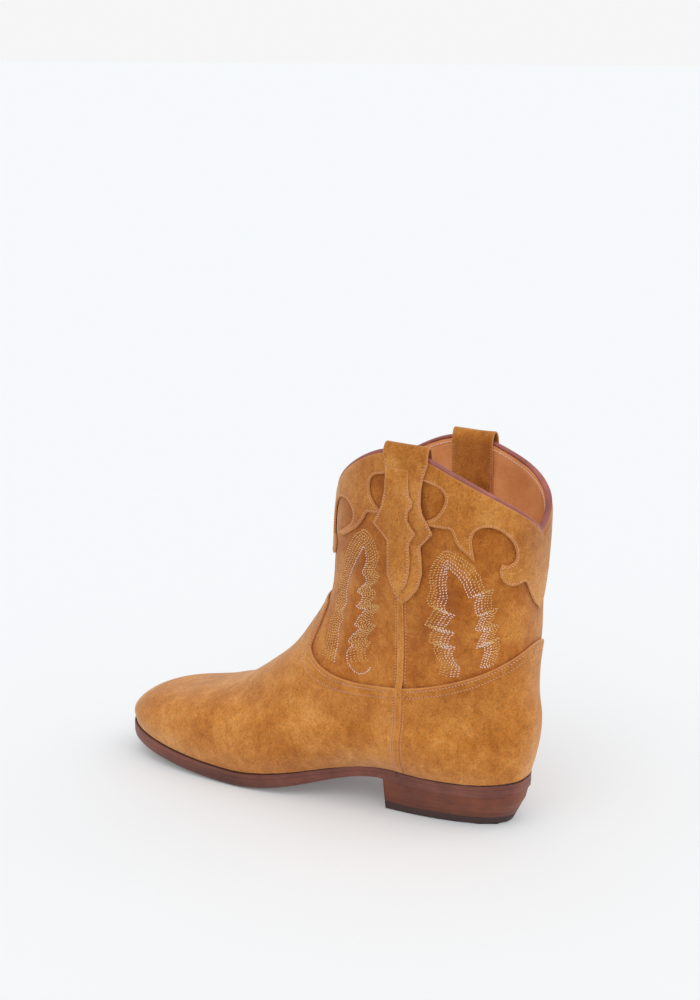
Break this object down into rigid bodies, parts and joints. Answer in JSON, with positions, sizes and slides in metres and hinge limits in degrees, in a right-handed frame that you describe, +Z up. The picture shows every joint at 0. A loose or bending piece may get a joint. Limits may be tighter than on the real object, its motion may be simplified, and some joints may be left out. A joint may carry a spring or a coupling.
{
  "type": "cowboy boot",
  "caption": "Short western boot in tan suede with a V-cut top line, two pull straps, stitched scroll overlays, a welted leather sole and a low stacked heel.",
  "frame": {"origin": "on the ground, under the middle of the boot's box", "axes": "+Y from heel to toe, +X to the outer side of the right foot, +Z up"},
  "size_m": [0.1016, 0.2956, 0.2445],
  "materials": {
    "suede": "matt napped suede, tan",
    "shaft_suede": "matt napped suede, darker tan",
    "binding": "smooth leather, slight sheen",
    "lining": "smooth tan leather",
    "stiffener": "pressed fibre",
    "insole_board": "undyed vegetable-tanned leather",
    "shank_steel": "spring steel",
    "cork": "ground cork and latex",
    "sole_leather": "burnished sole edge",
    "heel_leather": "burnished stacked leather",
    "top_lift": "dark rubber",
    "nail_brass": "small brass nails"
  },
  "bodies": {
    "root": {"vamp": "suede", "heel_counter": "suede", "shaft_front": "shaft_suede", "shaft_back": "shaft_suede", "collar_front": "suede", "collar_back": "suede", "top_binding": "binding", "side_seam_medial": "suede", "side_seam_lateral": "suede", "pull_strap_medial": "suede", "pull_strap_lateral": "suede", "strap_overlay_medial": "suede", "strap_overlay_lateral": "suede", "lining_vamp": "lining", "lining_heel": "lining", "lining_front": "lining", "lining_back": "lining", "toe_puff": "stiffener", "counter_stiffener": "stiffener", "sock_liner": "lining", "insole_board": "insole_board", "steel_shank": "shank_steel", "cork_filler": "cork", "welt": "sole_leather", "heel_rand": "sole_leather", "outsole": "sole_leather", "heel_wedge": "heel_leather", "heel_lift_1": "heel_leather", "heel_lift_2": "heel_leather", "heel_lift_3": "heel_leather", "top_lift": "top_lift", "heel_nails": "nail_brass"}
  },
  "joints": []
}
